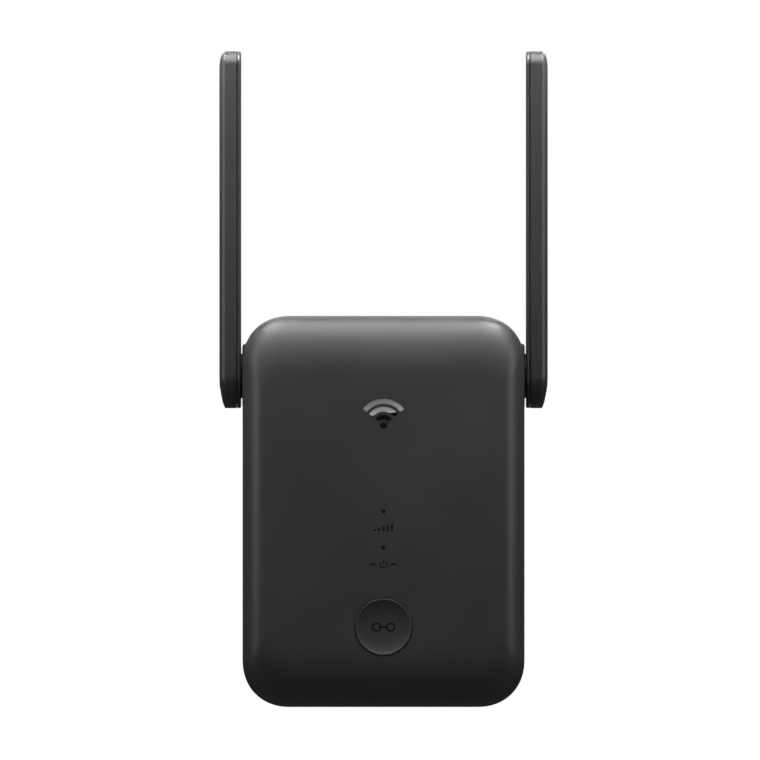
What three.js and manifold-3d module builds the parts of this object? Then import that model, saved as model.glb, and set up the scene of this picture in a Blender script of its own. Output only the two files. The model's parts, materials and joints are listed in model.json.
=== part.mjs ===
// A plug-in Wi-Fi range extender with two folding antennas, as an assembly of separate pieces.
// Millimetres. +X is right, +Z is up, the front faces -Y and the plug points along +Y.
// The origin is the centre of the plug's flat face, which meets the wall socket.
import * as THREE from "three";
import { mergeVertices } from "three/addons/utils/BufferGeometryUtils.js";
import Module from "manifold-3d";

const wasm = await Module();
wasm.setup();

// ---------- driving dimensions ----------
const CASE = { width: 69.5, height: 96.4, corner: 11.6, depth: 37, wall: 2, backFillet: 2.5 };
const FRONT_FILLET = { depth: 7.5, sideReach: 6.6, endReach: 15, endPower: 2.4 }; // long at top and bottom
const PLUG_DEPTH = 17; // how far the plug housing stands out of the case's back
const REAR_COVER_DEPTH = 7; // the shallow rear shell; the front shell is the rest of the case
const PARTING_GAP = 0.3; // the seam between front and rear shell
const CLEARANCE = 0.3; // between pieces that touch or slide
const HINGE = { back: 18.5, height: 33.4, padRadius: 8, collarRadius: 5.5, neckRadius: 3.2, boreRadius: 1.3 };
const ANTENNA = { width: 15.9, reach: 80.1, tipRadius: 3.2, wall: 1.2, crown: 1.3, plate: 0.8, seam: 0.3 };
const BUTTON = { height: -28.45, radius: 7.1, opening: 7.4, flange: 8.8, dish: 0.7, travel: 0.5 };
const LIGHTS = { signal: 0.1, power: -8.8, hole: 0.65, pipe: 0.5 };
const EMBLEM = { height: 21.3, dot: 0.85, stroke: 1.15, step: 1.95, arcs: 3, spread: 52 };
const PIN = { spacing: 19, radius: 2, length: 19, sleeve: 10, sleeveRadius: 1.9, neck: 1.3 };
const PLUG = { radius: 17.65, halfHeight: 13.05, notchWidth: 6, notchDepth: 2.6, floor: 4, nose: 0.9 };
const JACK = { width: 15.2, thickness: 12.6, length: 21.7, recess: 0.2 };
const JACK_MOUTH = { width: 11.8, height: 8, depth: 13, latch: 6.4 };
const JACK_SHIELD = { gap: 0.15, sheet: 0.35 };
const VENT = { width: 1.6, topStep: 4, topCount: 9, underStep: 3.2, underCount: 4 };
const BOARD = { halfWidth: 27, thickness: 1.2, top: 37, bottom: -45.2 };
const POWER = { thickness: 1.6, top: 35, bottom: -18 };
const SCREW_POST = { x: 23, z: 41, radius: 3, pilot: 1.5 };
const BOARD_SCREW = { x: 22, z: 28, post: 2.5, pilot: 1.2, hole: 1.5 };

// ---------- places that follow from them ----------
const SIDES = [-1, 1]; // left and right, or low and high
const backY = -PLUG_DEPTH;
const frontY = backY - CASE.depth;
const seamY = backY - REAR_COVER_DEPTH;
const innerFrontY = frontY + CASE.wall;
const innerBackY = backY - CASE.wall;
const halfWidth = CASE.width / 2;
const halfHeight = CASE.height / 2;
const hingeY = backY - HINGE.back;
const boardBackY = innerFrontY + 7.8; // the main board's rear face
const boardFrontY = boardBackY - BOARD.thickness;
const powerBackY = backY - 7.4; // the power board's rear face
const powerFrontY = powerBackY - POWER.thickness;
const padFace = halfWidth + 0.1; // the hinge pad's flat outer face
const antennaInner = padFace + CLEARANCE;
const shellInner = antennaInner + ANTENNA.plate + ANTENNA.seam;
const antennaOuter = antennaInner + 5.35;
const jackNearY = boardBackY + 0.4; // the jack's face on the board
const jackFarY = jackNearY + JACK.thickness;
const jackLowZ = -halfHeight + JACK.recess; // the jack fills the case's opening, all but flush
const mouthMiddleY = (jackNearY + jackFarY) / 2 + 0.3;

// ---------- materials ----------
const material = (color, roughness, metalness = 0) =>
  new THREE.MeshStandardMaterial({ color, roughness, metalness });
const MATERIALS = {
  casePlastic: material(0x2b2b2c, 0.55),
  darkPlastic: material(0x1c1c1d, 0.5),
  buttonPlastic: material(0x252526, 0.5),
  plugPlastic: material(0x222223, 0.6),
  emblemMetal: material(0xb8bcc0, 0.3, 1),
  clearPlastic: material(0xd8dde0, 0.15),
  nickel: material(0xc9c7c1, 0.3, 1),
  steel: material(0x9da1a5, 0.35, 1),
  tinPlate: material(0xb9bcbc, 0.4, 1),
  gold: material(0xd4af5a, 0.3, 1),
  copper: material(0xb56b3a, 0.4, 1),
  aluminium: material(0xa9adb0, 0.45, 1),
  circuitBoard: material(0x1f5a38, 0.5),
  antennaBoard: material(0x23402f, 0.5),
  chipEpoxy: material(0x18181a, 0.6),
  ledResin: material(0xf2efe2, 0.3),
  silicone: material(0x6d7278, 0.8),
  thermalPad: material(0x8aa0b4, 0.85),
  ferrite: material(0x3b3c40, 0.7),
  windingTape: material(0xd8b833, 0.5),
  capacitorSleeve: material(0x22314f, 0.4),
  fuseSleeve: material(0x6a4a2f, 0.5),
  jackPlastic: material(0x101011, 0.5),
  coaxJacket: material(0x8b8d90, 0.5),
};

// ---------- turning geometry into solids ----------
function solid(geometry) {
  const bare = geometry.index ? geometry.toNonIndexed() : geometry.clone();
  const positions = new THREE.BufferGeometry().setAttribute("position", bare.getAttribute("position"));
  const merged = mergeVertices(positions, 1e-4);
  return new wasm.Manifold(
    new wasm.Mesh({
      numProp: 3,
      vertProperties: merged.attributes.position.array,
      triVerts: new Uint32Array(merged.index.array),
    }),
  );
}

function geometryOf(manifold) {
  const mesh = manifold.getMesh();
  const positions = new Float32Array(mesh.numVert * 3);
  for (let i = 0; i < mesh.numVert; i++) {
    positions.set(mesh.vertProperties.subarray(i * mesh.numProp, i * mesh.numProp + 3), i * 3);
  }
  const geometry = new THREE.BufferGeometry();
  geometry.setAttribute("position", new THREE.BufferAttribute(positions, 3));
  geometry.setIndex(new THREE.BufferAttribute(new Uint32Array(mesh.triVerts), 1));
  geometry.computeVertexNormals();
  return geometry;
}

const joined = (first, ...rest) => rest.reduce((sum, piece) => sum.add(piece), first);
const cut = (first, ...rest) => rest.reduce((left, piece) => left.subtract(piece), first);

const model = new THREE.Group();

function addPiece(name, shape, slot) {
  const mesh = new THREE.Mesh(geometryOf(shape), MATERIALS[slot]);
  mesh.name = name;
  model.add(mesh);
}

// ---------- shapes ----------
const AXES = {
  // where a drawing's x and y, and the extrusion, point
  x: [new THREE.Vector3(0, 1, 0), new THREE.Vector3(0, 0, 1), new THREE.Vector3(1, 0, 0)],
  y: [new THREE.Vector3(0, 0, 1), new THREE.Vector3(1, 0, 0), new THREE.Vector3(0, 1, 0)],
  z: [new THREE.Vector3(1, 0, 0), new THREE.Vector3(0, 1, 0), new THREE.Vector3(0, 0, 1)],
};

function placed(geometry, axis, along, centre) {
  const basis = new THREE.Matrix4().makeBasis(...AXES[axis]);
  const offset = AXES[axis][2].clone().multiplyScalar(along);
  return geometry.applyMatrix4(basis).translate(...offset.add(centre).toArray());
}

// An outline (a THREE.Shape) drawn across the axis and pushed from `from` to `to` along it.
// Along x the drawing's x is the model's y and its y is z; along y they are z and x; along z, x and y.
function prism(shape, axis, from, to, segments = 6) {
  const settings = { depth: to - from, bevelEnabled: false, curveSegments: segments };
  return solid(placed(new THREE.ExtrudeGeometry(shape, settings), axis, from, new THREE.Vector3()));
}

function block(x, y, z) {
  const size = [x, y, z].map(([low, high]) => high - low);
  const centre = [x, y, z].map(([low, high]) => (low + high) / 2);
  return solid(new THREE.BoxGeometry(...size).translate(...centre));
}

// A round piece on an axis through `centre`: profile points are [radius, place along the axis], and
// the outline closes on itself.
function turned(profile, axis, centre, segments = 24) {
  const points = [...profile, profile[0]].map(([radius, place]) => new THREE.Vector2(radius, place));
  const lathe = new THREE.LatheGeometry(points, segments).rotateX(Math.PI / 2);
  return solid(placed(lathe, axis, 0, new THREE.Vector3(...centre)));
}

const rod = (radius, axis, from, to, centre, segments) =>
  turned([[0, from], [radius, from], [radius, to], [0, to]], axis, centre, segments);

const tube = (outer, inner, axis, from, to, centre, segments) =>
  turned([[inner, from], [outer, from], [outer, to], [inner, to]], axis, centre, segments);

// A rounded rectangle's points, anticlockwise, as [across, up].
function roundedRectangle(halfAcross, halfUp, radius, cornerSteps = 5) {
  const points = [];
  for (const [quarter, sideAcross, sideUp] of [[0, 1, 1], [1, -1, 1], [2, -1, -1], [3, 1, -1]]) {
    for (let step = 0; step <= cornerSteps; step++) {
      const angle = ((quarter + step / cornerSteps) * Math.PI) / 2;
      points.push([
        sideAcross * (halfAcross - radius) + radius * Math.cos(angle),
        sideUp * (halfUp - radius) + radius * Math.sin(angle),
      ]);
    }
  }
  return points;
}

// A convex solid skinned over rings of [x, y, z] points that all have the same count.
function skinned(rings) {
  const count = rings[0].length;
  const vertices = rings.flat();
  const triangles = [];
  for (let ring = 0; ring + 1 < rings.length; ring++) {
    for (let i = 0; i < count; i++) {
      const a = ring * count + i;
      const b = ring * count + ((i + 1) % count);
      triangles.push([a, b, b + count], [a, b + count, a + count]);
    }
  }
  const last = vertices.length - count;
  for (let i = 1; i + 1 < count; i++) {
    triangles.push([0, i + 1, i], [last, last + i, last + i + 1]);
  }
  const geometry = new THREE.BufferGeometry();
  geometry.setAttribute("position", new THREE.Float32BufferAttribute(vertices.flat(), 3));
  geometry.setIndex(triangles.flat());
  const made = solid(geometry);
  if (made.volume() > 0) return made;
  geometry.setIndex(triangles.flatMap(([a, b, c]) => [a, c, b]));
  return solid(geometry);
}

const arcShape = (inner, outer, spread) => {
  const start = ((90 - spread) * Math.PI) / 180;
  const end = ((90 + spread) * Math.PI) / 180;
  const shape = new THREE.Shape();
  shape.absarc(0, 0, outer, start, end, false);
  shape.absarc(0, 0, inner, end, start, true);
  shape.closePath();
  return shape;
};

function outlineShape(points) {
  return new THREE.Shape(points.map(([across, up]) => new THREE.Vector2(across, up)));
}

// ---------- case ----------
// The case's smooth block, shrunk by `inset` all round, between two places along the depth. The front
// edge is a quarter ellipse at the sides and a longer, softer curve at the top and bottom.
function caseBlock(inset, from, to, filletSteps = 5) {
  const corner = CASE.corner - inset;
  const ring = (y, sidePull, endPull) =>
    roundedRectangle(halfWidth - inset - sidePull, halfHeight - inset - endPull, corner - sidePull)
      .map(([x, z]) => [x, y, z]);
  const angles = Array.from({ length: filletSteps + 1 }, (_, step) => (step / filletSteps) * (Math.PI / 2));
  const front = angles.map((angle) => ring(
    frontY + inset + (FRONT_FILLET.depth - inset) * (1 - Math.cos(angle)),
    (FRONT_FILLET.sideReach - inset) * (1 - Math.sin(angle)),
    (FRONT_FILLET.endReach - inset) * (1 - Math.sin(angle) ** (2 / FRONT_FILLET.endPower)),
  ));
  const backRadius = Math.max(CASE.backFillet - inset, 0.4);
  const back = angles.map((angle) => {
    const pull = backRadius * (1 - Math.cos(angle));
    return ring(backY - inset - backRadius * (1 - Math.sin(angle)), pull, pull);
  });
  const slab = block([-halfWidth - 1, halfWidth + 1], [from, to], [-halfHeight - 1, halfHeight + 1]);
  return skinned([...front, ...back]).intersect(slab);
}

// A row of slots through the case's top or underside, at z, between two places along the depth.
function slots(first, step, count, z, from, to) {
  const through = CASE.wall + 1;
  return Array.from({ length: count }, (_, i) => {
    const x = first + i * step;
    return block([x - VENT.width / 2, x + VENT.width / 2], [from, to], [z - through, z + through]);
  });
}

function hingePad(side) {
  const inner = side * (halfWidth - 2.75);
  const edge = side * (padFace - 0.9);
  const face = side * padFace;
  const r = HINGE.padRadius;
  const profile = [[0, inner], [r, inner], [r, edge], [r - 0.9, face], [0, face]];
  return turned(side > 0 ? profile : profile.reverse(), "x", [0, hingeY, HINGE.height], 28);
}

function emblemArcs(from, to, grow) {
  const pieces = [rod(EMBLEM.dot + grow, "y", from, to, [0, 0, EMBLEM.height], 12)];
  for (let i = 1; i <= EMBLEM.arcs; i++) {
    const middle = i * EMBLEM.step;
    const half = EMBLEM.stroke / 2 + grow;
    const widen = (grow / middle) * (180 / Math.PI);
    // drawn with its x up and its y across, so the fan is turned a quarter to open upwards
    const arc = arcShape(middle - half, middle + half, EMBLEM.spread + widen);
    const shape = outlineShape(arc.getPoints(7).map(({ x, y }) => [y + EMBLEM.height, -x]));
    pieces.push(prism(shape, "y", from, to));
  }
  return joined(...pieces);
}

function frontCover() {
  const shell = cut(
    caseBlock(0, frontY - 1, seamY - PARTING_GAP / 2),
    caseBlock(CASE.wall, frontY, backY, 3),
  );
  const pads = SIDES.map(hingePad);
  const posts = [];
  const pilots = [];
  for (const side of SIDES) {
    for (const end of SIDES) {
      const at = [side * SCREW_POST.x, 0, end * SCREW_POST.z];
      posts.push(rod(SCREW_POST.radius, "y", innerFrontY - 0.5, seamY - 2.3, at, 12));
      pilots.push(rod(SCREW_POST.pilot, "y", seamY - 14, seamY, at, 8));
    }
    const at = [side * BOARD_SCREW.x, 0, BOARD_SCREW.z];
    posts.push(rod(BOARD_SCREW.post, "y", innerFrontY - 0.5, boardFrontY - CLEARANCE, at, 12));
    pilots.push(rod(BOARD_SCREW.pilot, "y", innerFrontY + 1, boardFrontY, at, 8));
  }
  const hingeBores = SIDES.map((side) => {
    const ends = [side * (halfWidth - 6), side * (halfWidth + 1)].sort((a, b) => a - b);
    return rod(HINGE.neckRadius + CLEARANCE, "x", ...ends, [0, hingeY, HINGE.height], 20);
  });
  const buttonHole = rod(BUTTON.opening, "y", frontY - 1, innerFrontY + 1, [0, 0, BUTTON.height], 32);
  const lightHoles = [LIGHTS.signal, LIGHTS.power].map((z) =>
    rod(LIGHTS.hole, "y", frontY - 1, innerFrontY + 1, [0, 0, z], 12));
  const jackHole = block(
    [-JACK.width / 2 - CLEARANCE, JACK.width / 2 + CLEARANCE],
    [jackNearY - CLEARANCE, jackFarY + CLEARANCE],
    [-halfHeight - 1, -halfHeight + CASE.wall + 1],
  );
  const resetHole = rod(1, "z", -halfHeight - 1, -halfHeight + 3, [RESET.x, RESET.y, 0], 12);
  const vents = [
    ...slots(-16, VENT.topStep, VENT.topCount, halfHeight, hingeY - 5, hingeY + 7),
    ...slots(-24.4, VENT.underStep, VENT.underCount, -halfHeight, hingeY - 3, hingeY + 7),
    ...slots(14.8, VENT.underStep, VENT.underCount, -halfHeight, hingeY - 3, hingeY + 7),
  ];
  return cut(
    joined(shell, ...pads, ...posts),
    ...pilots, ...hingeBores, buttonHole, ...lightHoles, jackHole, resetHole, ...vents,
    emblemArcs(frontY - 1, innerFrontY + 1, 0.12),
  );
}

function plugOutline(inset) {
  const radius = PLUG.radius - inset;
  const flat = PLUG.halfHeight - inset;
  const corner = Math.asin(flat / radius);
  const notch = Math.asin((PLUG.notchWidth / 2 + inset) / radius);
  const depth = PLUG.notchDepth;
  const points = [];
  for (const side of [0, Math.PI]) {
    const at = (angle, r) => [r * Math.cos(side + angle), r * Math.sin(side + angle)];
    for (let i = 0; i <= 4; i++) points.push(at(-corner + ((corner - notch) * i) / 4, radius));
    points.push(at(-notch, radius - depth), at(notch, radius - depth));
    for (let i = 0; i <= 4; i++) points.push(at(notch + ((corner - notch) * i) / 4, radius));
  }
  return outlineShape(points.map(([x, z]) => [z, x])); // drawn with x up and y across
}

function rearCover() {
  const shell = cut(
    caseBlock(0, seamY + PARTING_GAP / 2, backY + 1),
    caseBlock(CASE.wall, frontY, backY, 3),
  );
  const lip = cut(
    caseBlock(CASE.wall + 0.25, seamY - 2, seamY + 3),
    caseBlock(CASE.wall + 1.25, seamY - 3, seamY + 4),
  );
  // the lip starts just inside the wall, so a thin ledge joins the two
  const ledge = cut(
    caseBlock(CASE.wall - 0.5, seamY + 0.6, seamY + 2.6),
    caseBlock(CASE.wall + 1.25, seamY - 3, seamY + 4),
  );
  const posts = [];
  const holes = [];
  for (const side of SIDES) {
    for (const end of SIDES) {
      const at = [side * SCREW_POST.x, 0, end * SCREW_POST.z];
      posts.push(rod(SCREW_POST.radius, "y", seamY - 2, innerBackY + 0.5, at, 12));
      holes.push(rod(1.6, "y", seamY - 3, backY + 1, at, 10));
      holes.push(rod(2.6, "y", backY - 3, backY + 1, at, 14));
    }
  }
  const plugHole = prism(plugOutline(-CLEARANCE), "y", innerBackY - 1, backY + 1);
  return cut(joined(shell, lip, ledge, ...posts), ...holes, plugHole);
}

// ---------- plug ----------
const pinPlaces = { left: -PIN.spacing / 2, right: PIN.spacing / 2 };
const flangeInnerY = innerBackY - 2.2;
const cupFloorY = -PLUG.floor;

function plugHousing() {
  const boss = prism(plugOutline(0), "y", flangeInnerY, -1.2);
  const nose = prism(plugOutline(PLUG.nose), "y", -1.4, 0);
  const flangeShape = outlineShape(roundedRectangle(16, 20.5, 4, 4));
  const flange = prism(flangeShape, "y", flangeInnerY, innerBackY - CLEARANCE);
  const cupShape = outlineShape(roundedRectangle(9.5, 13.2, 3, 4));
  const cup = prism(cupShape, "y", flangeInnerY - 1, cupFloorY);
  const bores = Object.values(pinPlaces).map((x) =>
    rod(PIN.sleeveRadius + 0.2, "y", cupFloorY - 1, 1, [x, 0, 0], 16));
  return cut(joined(boss, nose, flange), cup, ...bores);
}

function plugPin(x) {
  const tip = PIN.length;
  const shoulder = PIN.sleeve;
  const head = cupFloorY - 1.8;
  const profile = [
    [0, head], [2.6, head], [2.6, head + 1.4], [PIN.neck, head + 1.4],
    [PIN.neck, shoulder], [PIN.radius, shoulder], [PIN.radius, tip - PIN.radius],
  ];
  for (let step = 1; step <= 4; step++) {
    const angle = (step / 4) * (Math.PI / 2);
    profile.push([PIN.radius * Math.cos(angle), tip - PIN.radius + PIN.radius * Math.sin(angle)]);
  }
  return turned(profile, "y", [x, 0, 0], 16);
}

function pinSleeve(x) {
  return tube(PIN.sleeveRadius, PIN.neck + 0.15, "y", cupFloorY + 0.3, PIN.sleeve - 0.15, [x, 0, 0], 16);
}

// A bent spring strip from the pin's head to the power board.
function mainsContact(x) {
  const low = cupFloorY - 2.1;
  const high = powerBackY + CLEARANCE;
  const points = [
    [low, -2.5], [low, 3.5], [high + 0.6, 3.5], [high + 0.6, 7],
    [high, 7], [high, 2.9], [low - 0.6, 2.9], [low - 0.6, -2.5],
  ];
  return prism(outlineShape(points), "x", x - 2, x + 2);
}

// ---------- front controls and lights ----------
const switchFaceY = boardFrontY - 3.1;
const flangeY = innerFrontY + 0.7; // the front of the button's flange, clear of the case's inside
const FLANGE_THICKNESS = 1;

// A cap with a dished face, a flange that keeps it in the case, and a stem for the switch.
function pairButton() {
  const rim = frontY + 0.1;
  const stemEnd = switchFaceY - 1.1;
  const dishSteps = 4;
  const dish = Array.from({ length: dishSteps + 1 }, (_, step) => {
    const share = 1 - step / dishSteps;
    return [share * (BUTTON.radius - 0.5), rim + BUTTON.dish * (1 - share * share)];
  });
  const outline = [
    [0, stemEnd], [1.6, stemEnd], [1.6, flangeY + FLANGE_THICKNESS],
    [BUTTON.flange, flangeY + FLANGE_THICKNESS], [BUTTON.flange, flangeY],
    [BUTTON.radius, flangeY], [BUTTON.radius, rim + 0.5], ...dish,
  ];
  return turned(outline.reverse(), "y", [0, 0, BUTTON.height], 32);
}

function pairSwitchBody() {
  const body = block([-3, 3], [switchFaceY, boardFrontY - 0.1], [BUTTON.height - 3, BUTTON.height + 3]);
  return cut(body, rod(1.9, "y", switchFaceY - 1, boardFrontY - 0.9, [0, 0, BUTTON.height], 16));
}

function pairSwitchPlunger() {
  return rod(1.6, "y", switchFaceY - 0.8, switchFaceY + 1.4, [0, 0, BUTTON.height], 16);
}

function buttonReturnPad() {
  const front = flangeY + FLANGE_THICKNESS + BUTTON.travel + CLEARANCE;
  return tube(8, 5.6, "y", front, boardFrontY - 0.2, [0, 0, BUTTON.height], 20);
}

function lightPipe(z) {
  const back = innerFrontY + CLEARANCE;
  const profile = [
    [0, frontY + 0.35], [LIGHTS.pipe, frontY + 0.35], [LIGHTS.pipe, back], [1.5, back],
    [1.5, back + 0.8], [1, back + 0.8], [1, boardFrontY - 1.2], [0, boardFrontY - 1.2],
  ];
  return turned(profile, "y", [0, 0, z], 12);
}

function led(z) {
  return block([-0.8, 0.8], [boardFrontY - 0.9, boardFrontY - 0.1], [z - 0.5, z + 0.5]);
}

function frontEmblem() {
  const back = innerFrontY + CLEARANCE;
  const middle = EMBLEM.height + 2.8;
  const plate = block([-6.2, 6.2], [back, back + 0.8], [middle - 4.6, middle + 4.6]);
  return joined(plate, emblemArcs(frontY, back + 0.2, 0));
}

// ---------- main board ----------
const RESET = { x: 17, y: boardBackY + 1.5, bodyLow: -43.2, bodyHigh: -39.8 };

function mainBoard() {
  const board = block(
    [-BOARD.halfWidth, BOARD.halfWidth], [boardFrontY, boardBackY], [BOARD.bottom, BOARD.top]);
  const through = [boardFrontY - 1, boardBackY + 1];
  const holes = SIDES.flatMap((side) => [
    rod(SCREW_POST.radius + 0.4, "y", ...through, [side * SCREW_POST.x, 0, -SCREW_POST.z], 12),
    rod(BOARD_SCREW.hole, "y", ...through, [side * BOARD_SCREW.x, 0, BOARD_SCREW.z], 8),
  ]);
  return cut(board, ...holes);
}

function radioShield() {
  const y = boardFrontY - 0.1;
  return cut(
    block([-13, 13], [y - 2.4, y], [6, 19]),
    block([-12.6, 12.6], [y - 2, y + 1], [6.4, 18.6]),
  );
}

// The processor, its thermal pad and the finned heat sink stand on the board's rear face.
const processorMiddle = { x: 13, z: 10 };
const chipTopY = boardBackY + 1.3;
const padTopY = chipTopY + 0.9;

function squareOn(centre, half, from, to) {
  return block([centre.x - half, centre.x + half], [from, to], [centre.z - half, centre.z + half]);
}

function heatSink() {
  const base = squareOn(processorMiddle, 10, padTopY + 0.1, padTopY + 1.4);
  const fins = Array.from({ length: 7 }, (_, i) => {
    const x = processorMiddle.x - 10 + i * (19 / 6);
    const z = [processorMiddle.z - 10, processorMiddle.z + 10];
    return block([x, x + 1], [padTopY + 1.3, padTopY + 5.5], z);
  });
  return joined(base, ...fins);
}

function resetSwitchBody() {
  const body = block(
    [RESET.x - 2.2, RESET.x + 2.2], [boardBackY + 0.1, boardBackY + 2.9], [RESET.bodyLow, RESET.bodyHigh]);
  return cut(body, rod(0.9, "z", RESET.bodyLow - 1, RESET.bodyLow + 1.6, [RESET.x, RESET.y, 0], 12));
}

function resetSwitchPlunger() {
  return rod(0.7, "z", RESET.bodyLow - 0.9, RESET.bodyLow + 1.1, [RESET.x, RESET.y, 0], 12);
}

// The link between the two boards: a block with four square pins.
function boardLink() {
  const base = block([-24, -13.6], [boardBackY + 0.1, boardBackY + 8.5], [-16.2, -13.7]);
  const pins = Array.from({ length: 4 }, (_, i) => {
    const x = -22.7 + i * 2.54;
    return block([x - 0.35, x + 0.35], [boardBackY + 8, powerFrontY - 0.2], [-15.3, -14.6]);
  });
  return joined(base, ...pins);
}

// ---------- network jack ----------

function jackHousing() {
  const body = block(
    [-JACK.width / 2, JACK.width / 2],
    [jackNearY, jackFarY],
    [jackLowZ, jackLowZ + JACK.length],
  );
  const mouth = block(
    [-JACK_MOUTH.width / 2, JACK_MOUTH.width / 2],
    [mouthMiddleY - JACK_MOUTH.height / 2, mouthMiddleY + JACK_MOUTH.height / 2],
    [jackLowZ - 1, jackLowZ + JACK_MOUTH.depth],
  );
  const latch = block(
    [-JACK_MOUTH.latch / 2, JACK_MOUTH.latch / 2],
    [mouthMiddleY, jackFarY - 0.8],
    [jackLowZ - 1, jackLowZ + JACK_MOUTH.depth],
  );
  return cut(body, mouth, latch);
}

// A folded sheet over the jack's sides, back and top, behind the case's wall.
function jackShield() {
  const half = JACK.width / 2;
  const { gap, sheet } = JACK_SHIELD;
  const low = -halfHeight + CASE.wall + CLEARANCE;
  const top = jackLowZ + JACK.length;
  return cut(
    block([-half - gap - sheet, half + gap + sheet], [jackNearY + 1, jackFarY + gap + sheet],
      [low, top + gap + sheet]),
    block([-half - gap, half + gap], [jackNearY, jackFarY + gap], [low - 1, top + gap]),
  );
}

function jackContacts() {
  const near = mouthMiddleY - JACK_MOUTH.height / 2 + 0.2;
  const low = jackLowZ + 2.5;
  const high = jackLowZ + JACK_MOUTH.depth - 0.3;
  const base = block([-5.2, 5.2], [near, near + 0.6], [low, high]);
  const wires = Array.from({ length: 8 }, (_, i) => {
    const x = (i - 3.5) * 1.02;
    return block([x - 0.22, x + 0.22], [near + 0.5, near + 1.1], [low + 0.4, high]);
  });
  return joined(base, ...wires);
}

// ---------- power supply ----------
const onPowerBoard = powerFrontY - 0.1;

function powerBoard() {
  return block([-BOARD.halfWidth, BOARD.halfWidth], [powerFrontY, powerBackY], [POWER.bottom, POWER.top]);
}

const TRANSFORMER = { x: -14.5, z: 10.5, width: 17, height: 16, depth: 12 };

function transformerCore() {
  const { x, z, width, height, depth } = TRANSFORMER;
  const near = onPowerBoard - depth;
  const far = onPowerBoard - 2;
  const outer = block([x - width / 2, x + width / 2], [near, far], [z - 3.5, z + 3.5]);
  const windows = SIDES.map((side) => {
    const middle = x + side * width * 0.27;
    return block(
      [middle - 2.2, middle + 2.2], [near + 2.2, far - 2.2], [z - height / 2, z + height / 2]);
  });
  return cut(outer, ...windows);
}

// The winding is a ring round the core's middle leg.
function transformerWinding() {
  const { x, z, width, depth } = TRANSFORMER;
  const near = onPowerBoard - depth + 2.5;
  const far = onPowerBoard - 4.5;
  const leg = width * 0.27 - 2.2;
  return cut(
    block([x - leg - 4.1, x + leg + 4.1], [near, far], [z - 6.8, z + 6.8]),
    block([x - leg - CLEARANCE, x + leg + CLEARANCE], [near - 1, far + 1], [z - 3.8, z + 3.8]),
  );
}

const standingCan = (x, z, radius, tall) =>
  turned(
    [[0, onPowerBoard - tall], [radius - 0.5, onPowerBoard - tall], [radius, onPowerBoard - tall + 0.5],
      [radius, onPowerBoard], [0, onPowerBoard]],
    "y", [x, 0, z], 20);

// ---------- screws ----------
function screw(x, z, headY, direction, headRadius, shankRadius, length) {
  const at = (distance) => headY + direction * distance;
  const profile = [
    [0, at(0)], [headRadius * 0.8, at(0)], [headRadius, at(0.5)], [headRadius, at(1.4)],
    [shankRadius, at(1.4)], [shankRadius, at(length - 1)], [0, at(length)],
  ];
  return turned(direction > 0 ? profile : profile.reverse(), "y", [x, 0, z], 10);
}

// ---------- antennas ----------
// The paddle's outline in the side view, shrunk by `inset`: a half-round foot at the hinge, straight
// sides and two rounded tip corners. Points are [y, z].
function paddle(inset) {
  const half = ANTENNA.width / 2 - inset;
  const corner = Math.max(ANTENNA.tipRadius - inset, 0.5);
  const top = HINGE.height + ANTENNA.reach - inset;
  const points = [];
  for (let step = 0; step <= 12; step++) {
    const angle = Math.PI + (step / 12) * Math.PI;
    points.push([hingeY + half * Math.cos(angle), HINGE.height + half * Math.sin(angle)]);
  }
  for (const [side, start] of [[1, 0], [-1, Math.PI / 2]]) {
    for (let step = 0; step <= 4; step++) {
      const angle = start + (step / 4) * (Math.PI / 2);
      points.push([
        hingeY + side * (half - corner) + corner * Math.cos(angle),
        top - corner + corner * Math.sin(angle),
      ]);
    }
  }
  return points;
}

const paddleSolid = (side, steps) =>
  skinned(steps.map(([x, inset]) => paddle(inset).map(([y, z]) => [side * x, y, z])));

function antennaOuterShell(side) {
  const shoulder = antennaOuter - ANTENNA.crown;
  const outside = paddleSolid(side, [
    [shellInner, 0.1], [shellInner + 0.2, 0], [shoulder, 0], [shoulder + 0.7, 0.5],
    [shoulder + 1.05, 1.5], [antennaOuter, 3.5],
  ]);
  const inside = paddleSolid(side, [
    [shellInner - 1, ANTENNA.wall], [shoulder - 0.3, ANTENNA.wall], [antennaOuter - ANTENNA.wall, 3.2],
  ]);
  return cut(outside, inside);
}

function antennaInnerShell(side) {
  const plate = paddleSolid(side, [
    [antennaInner, 0.35], [antennaInner + 0.35, 0], [antennaInner + ANTENNA.plate, 0],
  ]);
  const rim = cut(
    paddleSolid(side, [[antennaInner + 0.5, ANTENNA.wall + 0.2], [shellInner + 1, ANTENNA.wall + 0.2]]),
    paddleSolid(side, [[antennaInner + 0.2, ANTENNA.wall + 1], [shellInner + 2, ANTENNA.wall + 1]]),
    block([-60, 60], [hingeY - 20, hingeY + 20], [0, HINGE.height + 10]),
  );
  const ends = [side * (antennaInner - 1), side * (shellInner + 2)].sort((a, b) => a - b);
  return cut(
    joined(plate, rim),
    rod(HINGE.collarRadius + CLEARANCE, "x", ...ends, [0, hingeY, HINGE.height], 20),
  );
}

function turnedOnHinge(side, profile, segments) {
  const sided = profile.map(([radius, x]) => [radius, side * x]);
  return turned(side > 0 ? sided : sided.reverse(), "x", [0, hingeY, HINGE.height], segments);
}

const shaftEnd = halfWidth - 5.6;
const grooveFrom = shaftEnd + 0.8;
const grooveTo = grooveFrom + 0.9;
const padInner = halfWidth - 2.75;

function hingeShaft(side) {
  const neck = HINGE.neckRadius;
  const collar = padFace + 0.1;
  const flangeFrom = shellInner + 0.05;
  return turnedOnHinge(side, [
    [HINGE.boreRadius, shaftEnd], [neck, shaftEnd], [neck, grooveFrom], [neck - 0.7, grooveFrom],
    [neck - 0.7, grooveTo], [neck, grooveTo], [neck, collar], [HINGE.collarRadius, collar],
    [HINGE.collarRadius, flangeFrom], [HINGE.collarRadius + 0.7, flangeFrom],
    [HINGE.collarRadius + 0.7, flangeFrom + 1], [HINGE.boreRadius, flangeFrom + 1],
  ], 20);
}

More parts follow.
